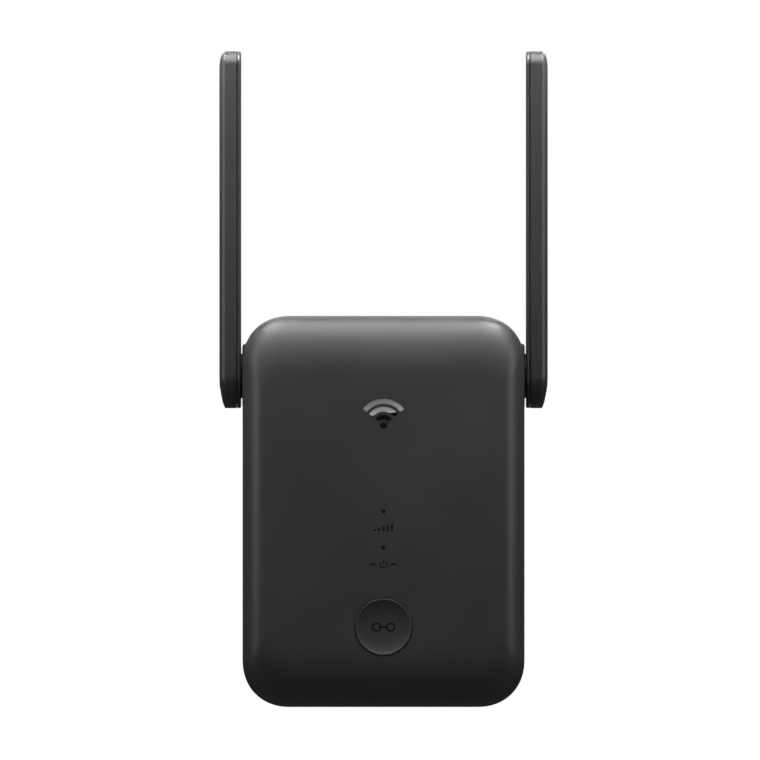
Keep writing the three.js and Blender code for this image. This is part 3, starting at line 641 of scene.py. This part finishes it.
def vents(places, z, low_y, high_y):
    reach = WALL + PAST
    tools = []
    for x in places:
        outline = [(a, b) for b, a in stadium(high_y - low_y, VENT_WIDTH, ((low_y + high_y) / 2, x))]
        tools.append(prism("vent", outline, "z", z - reach, z + reach))
    return tools


def hinge_pad(side):
    """A round pad on the case's side with a rounded edge."""
    root_x = side * (HALF_W - PAD_ROOT)
    edge_x = side * (PAD_X - PAD_EDGE)
    profile = [(0, root_x), (PAD_RADIUS, root_x), (PAD_RADIUS, edge_x)]
    for step in range(1, 6):
        angle = step / 5 * QUARTER
        radius = PAD_RADIUS - PAD_EDGE * (1 - math.cos(angle))
        profile.append((radius, edge_x + side * PAD_EDGE * math.sin(angle)))
    profile.append((0, side * PAD_X))
    return turned("pad", profile, "x", HINGE, 72)


def front_openings():
    """The shapes that cut the front cover's openings."""
    start = FRONT_Y - PAST
    end = FRONT_Y + WALL + PAST
    tools = [rod("tool", BUTTON_OPENING, "y", start, end, (0, 0, BUTTON_Z), 96)]
    for name in LIGHTS:
        low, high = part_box("light_pipe_" + name)
        tools.append(rod("tool", LIGHT_HOLE, "y", start, end, (low + high) / 2, 32))
    tools += emblem_shapes(WINDOW_GAP, start, end, "window")
    for side in SIDES.values():
        deep_x = side * (HALF_W - SHAFT_HOLE_DEPTH)
        tools.append(rod("tool", SHAFT_HOLE, "x", deep_x, side * (HALF_W + PAST), HINGE, 48))
    underside = (-HALF_H - PAST, -HALF_H + WALL + PAST)
    low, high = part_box("ethernet_jack_housing")
    tools.append(block(
        "tool",
        (low.x - JACK_GAP, low.y - JACK_GAP, underside[0]),
        (high.x + JACK_GAP, high.y + JACK_GAP, underside[1]),
    ))
    low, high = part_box("reset_switch_plunger")
    tools.append(rod("tool", RESET_HOLE, "z", *underside, (low + high) / 2, 32))
    tools += vents(VENTS_TOP, HALF_H, *VENTS_TOP_Y)
    tools += vents(VENTS_UNDER, -HALF_H, *VENTS_UNDER_Y)
    return tools


def front_case():
    rings = front_rings()
    rings += [case_ring(0, SEAM_FRONT_Y - SEAM_EDGE), case_ring(SEAM_EDGE, SEAM_FRONT_Y)]
    rings += [case_ring(WALL, SEAM_FRONT_Y)]
    rings += reversed(front_rings(WALL, 8))
    shell = skinned("case_front", rings)
    add(shell, *[hinge_pad(side) for side in SIDES.values()])
    cut(shell, *front_openings())
    soften(shell, FINE_EDGE, 2)
    piece(shell, "housing", "case_plastic", "front_cover")


def rear_lip():
    """The rim inside the wall that reaches into the front cover and closes the seam from inside."""
    end = BACK_Y - WALL + 0.2 * MM
    in_wall = WALL - 0.05 * MM
    ledge = SEAM_REAR_Y + 0.1 * MM
    lip = skinned("lip", [
        case_ring(WALL + LIP_GAP, LIP_Y),
        case_ring(WALL + LIP_GAP, ledge),
        case_ring(in_wall, ledge + 0.3 * MM),
        case_ring(in_wall, end),
    ])
    inner = WALL + LIP_THICKNESS
    return cut(lip, skinned("tool", [case_ring(inner, LIP_Y - PAST), case_ring(inner, end + PAST)]))


def rear_case():
    shell = skinned("case_rear", [
        case_ring(WALL, SEAM_REAR_Y),
        case_ring(SEAM_EDGE, SEAM_REAR_Y),
        case_ring(0, SEAM_REAR_Y + SEAM_EDGE),
        *back_rings(),
    ])
    cut(shell, skinned("tool", [case_ring(WALL, SEAM_REAR_Y - PAST), case_ring(WALL, BACK_Y - WALL)]))
    add(shell, rear_lip())
    start = BACK_Y - WALL - PAST
    end = BACK_Y + PAST
    tools = [prism("tool", plug_outline(-PLUG_GAP), "y", start, end)]
    for name in SCREWS:
        low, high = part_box(name)
        tools.append(rod("tool", SCREW_RECESS, "y", start, end, (low + high) / 2, 48))
    for z in RIB_GROOVE_PLACES:
        outline = stadium(RIB_GROOVE["length"], RIB_GROOVE["width"], (0, z))
        tools.append(prism("tool", outline, "y", BACK_Y - RIB_GROOVE["depth"], end))
    cut(shell, *tools)
    soften(shell, FINE_EDGE, 2)
    piece(shell, "housing", "case_plastic", "rear_cover")


# ---------- plug and screws ----------
def plug_outline(inset):
    """A round plug body with flat top and bottom and a guide notch at each side."""
    radius = PLUG_RADIUS - inset
    corner = math.asin((PLUG_FLAT - inset) / radius)
    notch = math.asin((PLUG_NOTCH_HALF + inset) / radius)
    points = []
    for base in (0, math.pi):
        points += circle(radius, 16, (0, 0), base - corner, corner - notch)
        points += circle(radius - PLUG_NOTCH_DEPTH, 1, (0, 0), base - notch, 2 * notch)
        points += circle(radius, 16, (0, 0), base + notch, corner - notch)
    return points


def plug_body():
    root_y = BACK_Y - WALL - PAST
    rings = [[Vector((x, root_y, z)) for x, z in plug_outline(0)]]
    for step in range(7):
        angle = step / 6 * QUARTER
        inset = PLUG_NOSE * (1 - math.cos(angle))
        y = PLUG_FACE_Y - PLUG_NOSE * (1 - math.sin(angle))
        rings.append([Vector((x, y, z)) for x, z in plug_outline(inset)])
    body = skinned("plug_body", rings)
    tools = []
    for side in SIDES:
        low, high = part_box("pin_sleeve_" + side)
        start = PLUG_FACE_Y - 3 * MM
        tools.append(rod("tool", SLEEVE_HOLE, "y", start, PLUG_FACE_Y + PAST, (low + high) / 2, 40))
    cut(body, *tools)
    soften(body, 0.15 * MM, 2)
    piece(body, "housing", "plug_plastic", "plug_housing")


def plug_pin(side):
    """A pin with a narrow waist inside its sleeve and a round tip."""
    low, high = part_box("plug_pin_" + side)
    root_y = PLUG_FACE_Y - 2 * MM
    shoulder_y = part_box("pin_sleeve_" + side)[1].y + 0.1 * MM
    edge = 0.15 * MM
    profile = [(0, root_y), (PIN_WAIST, root_y), (PIN_WAIST, shoulder_y), (PIN_RADIUS - edge, shoulder_y)]
    profile.append((PIN_RADIUS, shoulder_y + edge))
    for step in range(9):
        angle = step / 8 * QUARTER
        profile.append((PIN_RADIUS * math.cos(angle), high.y - PIN_RADIUS * (1 - math.sin(angle))))
    pin = turned("pin_" + side, profile, "y", (low + high) / 2, 48)
    piece(soften(pin), "housing", "nickel", "plug_pin_" + side)


def pin_sleeve(side):
    low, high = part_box("plug_pin_" + side)
    end_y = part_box("pin_sleeve_" + side)[1].y
    root_y = PLUG_FACE_Y - 3 * MM
    edge = 0.2 * MM
    profile = [(SLEEVE_BORE, root_y), (SLEEVE_RADIUS, root_y), (SLEEVE_RADIUS, end_y - edge)]
    profile += [(SLEEVE_RADIUS - edge, end_y), (SLEEVE_BORE, end_y)]
    sleeve = turned("sleeve_" + side, profile, "y", (low + high) / 2, 48, closed=True)
    piece(soften(sleeve), "housing", "dark_plastic", "pin_sleeve_" + side)


def rear_screw(name):
    """A domed screw with a cross slot."""
    low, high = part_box(name)
    middle = (low + high) / 2
    under_head = high.y - SCREW_HEAD_HEIGHT
    profile = [
        (0, high.y), (SCREW_HEAD * 0.75, high.y), (SCREW_HEAD * 0.95, high.y - 0.25 * MM),
        (SCREW_HEAD, high.y - 0.6 * MM), (SCREW_HEAD, under_head), (SCREW_SHANK, under_head),
        (SCREW_SHANK, low.y + MM), (0, low.y),
    ]
    screw = turned("rear_" + name, profile, "y", middle, 40)
    reach = SCREW_SLOT["reach"]
    half_width = SCREW_SLOT["half_width"]
    for across, up in ((reach, half_width), (half_width, reach)):
        slot_low = (middle.x - across, high.y - SCREW_SLOT["depth"], middle.z - up)
        slot_high = (middle.x + across, high.y + 0.2 * MM, middle.z + up)
        cut(screw, block("tool", slot_low, slot_high))
    piece(soften(screw, 0.05 * MM, 2), "housing", "steel", name)


# ---------- front controls ----------
def dish_depth(radius):
    """How deep the button's face lies under its rim: a rounded lip, a short slope, then a shallow dish."""
    lip = BUTTON_RADIUS - BUTTON_LIP
    foot = BUTTON_RADIUS - BUTTON_FOOT
    if radius >= lip:
        return 0.0
    if radius <= foot:
        return BUTTON_STEP + BUTTON_DISH * (1 - (radius / foot) ** 3)
    share = (lip - radius) / (lip - foot)
    return BUTTON_STEP * share * share * (3 - 2 * share) ** 0.8


def pairing_button():
    rim_y = FRONT_Y - BUTTON_PROUD
    flat_radius = BUTTON_RADIUS - BUTTON_EDGE
    steps = 48
    profile = [(0, rim_y + dish_depth(0))]
    for step in range(1, steps + 1):
        radius = step / steps * flat_radius
        profile.append((radius, rim_y + dish_depth(radius)))
    for step in range(1, 7):
        angle = step / 6 * QUARTER
        radius = flat_radius + BUTTON_EDGE * math.sin(angle)
        profile.append((radius, rim_y + BUTTON_EDGE * (1 - math.cos(angle))))
    flange = button_high.x
    flange_y = FRONT_Y + WALL + FLANGE_GAP
    flange_back = flange_y + FLANGE_THICKNESS
    profile += [(BUTTON_RADIUS, flange_y), (flange, flange_y), (flange, flange_back)]
    profile += [(BUTTON_STEM, flange_back), (BUTTON_STEM, button_high.y), (0, button_high.y)]
    cap = turned("pairing_button_cap", profile, "y", (0, 0, BUTTON_Z), 112)
    piece(soften(cap), "pair_button", "button_plastic", "pair_button")


def ribbon(points, width, surface_y):
    """A printed stroke along points [(x, z)], lying on the surface given by surface_y(x, z)."""
    fine = []
    for (x0, z0), (x1, z1) in zip(points, points[1:]):
        pieces = max(1, int(math.hypot(x1 - x0, z1 - z0) / (0.25 * MM)))
        fine += [(x0 + (x1 - x0) * i / pieces, z0 + (z1 - z0) * i / pieces) for i in range(pieces)]
    fine.append(points[-1])
    rings = []
    for i, (x, z) in enumerate(fine):
        before = Vector(fine[max(0, i - 1)])
        after = Vector(fine[min(len(fine) - 1, i + 1)])
        along = (after - before).normalized()
        side = Vector((-along.y, along.x)) * width / 2
        left = (x + side.x, z + side.y)
        right = (x - side.x, z - side.y)
        corners = ((left, -INK_LIFT), (right, -INK_LIFT), (right, INK_SINK), (left, INK_SINK))
        rings.append([Vector((a, surface_y(a, b) + offset, b)) for (a, b), offset in corners])
    return skinned("stroke", rings)


def face_y(x, z):
    return FRONT_Y


def button_y(x, z):
    return FRONT_Y - BUTTON_PROUD + dish_depth(math.hypot(x, z - BUTTON_Z))


def button_symbol():
    """Two linked rings joined by a bar, for pairing."""
    stroke = 0.42 * MM
    strokes = []
    for side in (-1, 1):
        loop = circle(0.95 * MM, 28, (side * 1.75 * MM, BUTTON_Z))
        strokes.append(ribbon(loop + loop[:1], stroke, button_y))
    strokes.append(ribbon([(-0.8 * MM, BUTTON_Z), (0.8 * MM, BUTTON_Z)], stroke, button_y))
    piece(joined_objects("button_symbol", strokes), "pair_button", "label_ink")


def signal_symbol(z):
    """Rising bars."""
    strokes = []
    low = z - 0.8 * MM
    for i in range(5):
        x = (i - 2) * 1.05 * MM
        strokes.append(ribbon([(x, low), (x, low + (0.5 + 0.3 * i) * MM)], 0.55 * MM, face_y))
    piece(joined_objects("signal_symbol", strokes), "housing", "label_ink")


def power_symbol(z):
    """A broken ring with an upright stroke, between two short bars."""
    stroke = 0.3 * MM
    broken_ring = circle(0.85 * MM, 26, (0, z), math.radians(125), math.radians(290))
    strokes = [ribbon(broken_ring, stroke, face_y)]
    strokes.append(ribbon([(0, z + 0.1 * MM), (0, z + 1.1 * MM)], stroke, face_y))
    for side in (-1, 1):
        strokes.append(ribbon([(side * 1.7 * MM, z), (side * 3.2 * MM, z)], 0.4 * MM, face_y))
    piece(joined_objects("power_symbol", strokes), "housing", "label_ink")


def light_pipe(name):
    """A clear pin in the front wall with a slightly domed end, on a wider flange and stem."""
    low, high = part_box("light_pipe_" + name)
    radius = LIGHT_HOLE - WINDOW_GAP
    front = FRONT_Y + GUIDE["sunk"]
    flange_y = low.y + 2 * MM
    flange_back = flange_y + 0.8 * MM
    profile = [
        (0, front - 0.06 * MM), (radius * 0.7, front - 0.03 * MM), (radius, front + 0.05 * MM),
        (radius, flange_y), (GUIDE["flange"], flange_y), (GUIDE["flange"], flange_back),
        (GUIDE["radius"], flange_back), (GUIDE["radius"], high.y), (0, high.y),
    ]
    guide = turned("light_guide_" + name, profile, "y", (0, 0, (low.z + high.z) / 2), 40)
    piece(soften(guide), "housing", "clear_plastic", "light_pipe_" + name)


def front_mark():
    """The signal arcs, raised on a plate behind the front wall so that they fill its openings."""
    low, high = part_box("front_emblem")
    plate = block("signal_emblem", (low.x, high.y - 0.8 * MM, low.z), (high.x, high.y, high.z))
    boolean(plate, emblem_shapes(0, FRONT_Y + 0.02 * MM, high.y - 0.4 * MM, "inlay"), "UNION")
    piece(soften(plate, 0.05 * MM, 2), "housing", "emblem_metal", "front_emblem")


# ---------- antennas ----------
def paddle(inset, tip, foot, steps=28, tip_steps=12):
    """The paddle's side outline as (y, z), pulled in at its long sides, its tip and its foot."""
    half = ANTENNA_HALF - inset
    corner = max(TIP_RADIUS - inset, LEAST_CORNER)
    tip_corner = max(TIP_RADIUS - tip, LEAST_CORNER)
    points = oval(half, ANTENNA_HALF - foot, steps, (HINGE.y, HINGE.z), math.pi, math.pi)
    for side, start in ((1, 0), (-1, QUARTER)):
        middle = (HINGE.y + side * (half - corner), ANTENNA_TOP - tip - tip_corner)
        points += oval(corner, tip_corner, tip_steps, middle, start, QUARTER)
    return points


def paddle_ring(side, x, inset, tip=None, foot=None, lean=0.0):
    """The paddle's outline as a ring at x. With lean it moves in a little below the hinge axis."""
    outline = paddle(inset, inset if tip is None else tip, inset if foot is None else foot)
    return [Vector((side * (x - lean * max(0.0, HINGE.z - z)), y, z)) for y, z in outline]


def antenna_outer(name, side):
    """The paddle's outer half: crowned outside, hollow inside, open towards the case."""
    inside = ANTENNA_OUTER_X - ANTENNA_WALL
    edge = 0.12 * MM
    rings = [
        paddle_ring(side, inside - 0.35 * MM, 3.2 * MM),
        paddle_ring(side, inside - 1.2 * MM, ANTENNA_WALL),
        paddle_ring(side, ANTENNA_SEAM_X, ANTENNA_WALL),
        paddle_ring(side, ANTENNA_SEAM_X, edge, 0.04 * MM, 0.04 * MM),
        paddle_ring(side, ANTENNA_SEAM_X + edge, 0),
    ]
    for inset, tip, foot, depth in CROWN:
        x = ANTENNA_OUTER_X - depth * MM
        rings.append(paddle_ring(side, x, inset * MM, tip * MM, foot * MM, FOOT_LEAN))
    shell = skinned(name + "_paddle_outer", rings)
    node = name + "_antenna_outer_shell"
    # the paddle's colour is the darker copy of the case plastic, which paints shade on it
    piece(soften(shell), name + "_antenna", "case_plastic", node, finish="antenna_plastic_painted_shade")


def antenna_inner(name, side):
    """The plate that closes the paddle towards the case, with a rim that fills the seam from inside."""
    plate_x = ANTENNA_SEAM_X - PARTING_WIDTH
    rim_x = ANTENNA_SEAM_X - 0.04 * MM
    rim = (PARTING_DEPTH, PARTING_END_DEPTH, PARTING_END_DEPTH)
    hollow = ANTENNA_WALL + MM
    edge = 0.1 * MM
    side_inset = 0.02 * MM
    rings = [
        paddle_ring(side, plate_x - 0.25 * MM, hollow),
        paddle_ring(side, rim_x, hollow),
        paddle_ring(side, rim_x, *rim),
        paddle_ring(side, plate_x, *rim),
        paddle_ring(side, plate_x, edge, 0.05 * MM, 0.05 * MM),
        paddle_ring(side, plate_x - edge, side_inset),
    ]
    for step in range(5):
        angle = step / 4 * QUARTER
        x = ANTENNA_INNER_X + INNER_EDGE * (1 - math.sin(angle))
        rings.append(paddle_ring(side, x, side_inset + INNER_EDGE * (1 - math.cos(angle))))
    shell = skinned(name + "_paddle_inner", rings)
    hole_ends = (side * (ANTENNA_INNER_X - PAST), side * (ANTENNA_SEAM_X + PAST))
    cut(shell, rod("tool", COLLAR_RADIUS + COLLAR_GAP, "x", *hole_ends, HINGE, 64))
    node = name + "_antenna_inner_shell"
    # the plate's colour is the darker copy of the case plastic, which paints shade on it
    piece(soften(shell), name + "_antenna", "case_plastic", node, finish="antenna_plastic_painted_shade")


def hinge_collar(name, side):
    """The hollow shaft from inside the case to the flange inside the paddle."""
    low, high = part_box("right_hinge_shaft")
    bore = 1.3 * MM
    neck = 3.2 * MM
    clip_groove = neck - 0.7 * MM
    clip_start = low.x + 0.8 * MM
    clip_end = low.x + 1.7 * MM
    edge = 0.04 * MM
    collar_x = PAD_X + 0.02 * MM
    flange = COLLAR_RADIUS + 0.7 * MM
    flange_x = high.x - MM
    profile = [
        (bore, low.x), (neck - 0.3 * MM, low.x), (neck, low.x + 0.3 * MM),
        (neck, clip_start), (clip_groove, clip_start), (clip_groove, clip_end), (neck, clip_end),
        (neck, collar_x), (COLLAR_RADIUS - edge, collar_x), (COLLAR_RADIUS, collar_x + edge),
        (COLLAR_RADIUS, flange_x), (flange, flange_x), (flange, high.x), (bore, high.x),
    ]
    mirrored = [(radius, side * x) for radius, x in profile]
    shaft = turned(name + "_hinge_collar", mirrored, "x", HINGE, 64, closed=True)
    piece(soften(shaft), name + "_antenna", "dark_plastic", name + "_hinge_shaft")


# ---------- studio ----------
def studio_camera():
    data = bpy.data.cameras.new("camera")
    data.sensor_width = 36
    data.lens = data.sensor_width * (CAMERA_DISTANCE + FRAME_DEPTH) / FRAME_WIDTH
    data.clip_end = 40
    obj = bpy.data.objects.new("camera", data)
    bpy.context.scene.collection.objects.link(obj)
    obj.location = (CAMERA_X, FRONT_Y - CAMERA_DISTANCE, CAMERA_Z)
    obj.rotation_euler = (QUARTER, 0, 0)
    bpy.context.scene.camera = obj


def studio_world():
    """White behind the object, and a dim room, darker below, for everything that the object reflects."""
    world = bpy.data.worlds.new("studio")
    world.use_nodes = True
    bpy.context.scene.world = world
    nodes = world.node_tree.nodes
    links = world.node_tree.links
    nodes.clear()
    direction = nodes.new("ShaderNodeTexCoord")
    split = nodes.new("ShaderNodeSeparateXYZ")
    links.new(direction.outputs["Generated"], split.inputs[0])
    height = nodes.new("ShaderNodeMapRange")
    height.inputs["From Min"].default_value = -0.2
    height.inputs["From Max"].default_value = 1.0
    height.inputs["To Min"].default_value = ROOM_LOW
    height.inputs["To Max"].default_value = ROOM_HIGH
    links.new(split.outputs["Z"], height.inputs["Value"])
    room = nodes.new("ShaderNodeBackground")
    room.inputs["Color"].default_value = (1, 1, 1, 1)
    links.new(height.outputs["Result"], room.inputs["Strength"])
    white = nodes.new("ShaderNodeBackground")
    white.inputs["Color"].default_value = (1, 1, 1, 1)
    white.inputs["Strength"].default_value = 1.0
    mix = nodes.new("ShaderNodeMixShader")
    output = nodes.new("ShaderNodeOutputWorld")
    links.new(nodes.new("ShaderNodeLightPath").outputs["Is Camera Ray"], mix.inputs["Fac"])
    links.new(room.outputs[0], mix.inputs[1])
    links.new(white.outputs[0], mix.inputs[2])
    links.new(mix.outputs[0], output.inputs["Surface"])


def studio_floor():
    """A pale floor well below the object. It shows evenly pale, and from underneath it is clear."""
    size = 3.0
    corners = [(-size, -size), (size, -size), (size, size), (-size, size)]
    floor = mesh_object("studio_floor", [(x, y, FLOOR_Z) for x, y in corners], [(0, 1, 2, 3)])
    n = Nodes("studio floor")
    cloud = n.noise(0.4)
    n.colour(n.ramp(cloud, [(0.3, grey(0.42)), (0.7, grey(0.46))]))
    n.set(Roughness=0.8)
    glow = n.new("ShaderNodeEmission")
    n.link(n.ramp(cloud, [(0.3, grey(0.9)), (0.7, grey(0.94))]), glow.inputs["Color"])
    camera_ray = n.new("ShaderNodeLightPath").outputs["Is Camera Ray"]
    from_above = n.mix(camera_ray, n.shader.outputs[0], glow.outputs[0])
    from_below = n.new("ShaderNodeBsdfTransparent").outputs[0]
    surface = n.mix(n.new("ShaderNodeNewGeometry").outputs["Backfacing"], from_above, from_below)
    n.link(surface, n.tree.nodes["Material Output"].inputs["Surface"])
    floor.data.materials.append(n.material)


def softbox(name, place, target, size, power):
    light = bpy.data.lights.new(name, "AREA")
    light.shape = "RECTANGLE"
    light.size, light.size_y = size
    light.energy = power
    obj = bpy.data.objects.new(name, light)
    bpy.context.scene.collection.objects.link(obj)
    aim = Vector(target) - Vector(place)
    obj.matrix_world = Matrix.Translation(place) @ aim.to_track_quat("-Z", "Y").to_matrix().to_4x4()
    obj.visible_camera = False


def studio_lights():
    """Soft light from above and in front, a strip at each side, a small light over each antenna's tip,
    and a fill at each side of the back."""
    case_top = (0, -0.04, 0.05)
    front = (0, -0.05, 0.03)
    back = (0, 0, 0.02)
    softbox("overhead", (0, -0.13, 0.20), case_top, (0.34, 0.06), 0.46)
    softbox("high_overhead", (0, -0.07, 0.30), case_top, (0.34, 0.10), 0.78)
    softbox("front_key", (0, -0.50, 0.30), front, (0.50, 0.30), 0.47)
    for name, side in SIDES.items():
        tip = (side * 0.069, -0.036, 0.113)
        softbox(name + "_strip", (side * 0.30, -0.17, 0.10), front, (0.05, 0.24), 0.31)
        softbox(name + "_tip", (side * 0.066, -0.052, 0.148), tip, (0.03, 0.015), 0.12)
        softbox(name + "_back", (side * 0.30, 0.60, 0.50), back, (0.50, 0.50), 2.6)


# ---------- the scene ----------
studio_camera()
studio_world()
studio_floor()
studio_lights()

front_case()
rear_case()
plug_body()
for side_name in SIDES:
    plug_pin(side_name)
    pin_sleeve(side_name)
for screw_name in SCREWS:
    rear_screw(screw_name)
pairing_button()
button_symbol()
signal_symbol(SIGNAL_SYMBOL_Z)
power_symbol(POWER_SYMBOL_Z)
for light_name in LIGHTS:
    light_pipe(light_name)
front_mark()
for side_name, side_sign in SIDES.items():
    antenna_outer(side_name, side_sign)
    antenna_inner(side_name, side_sign)
    hinge_collar(side_name, side_sign)
finish_cad_nodes()

view = bpy.context.scene.view_settings
view.view_transform = "Standard"
view.look = "None"
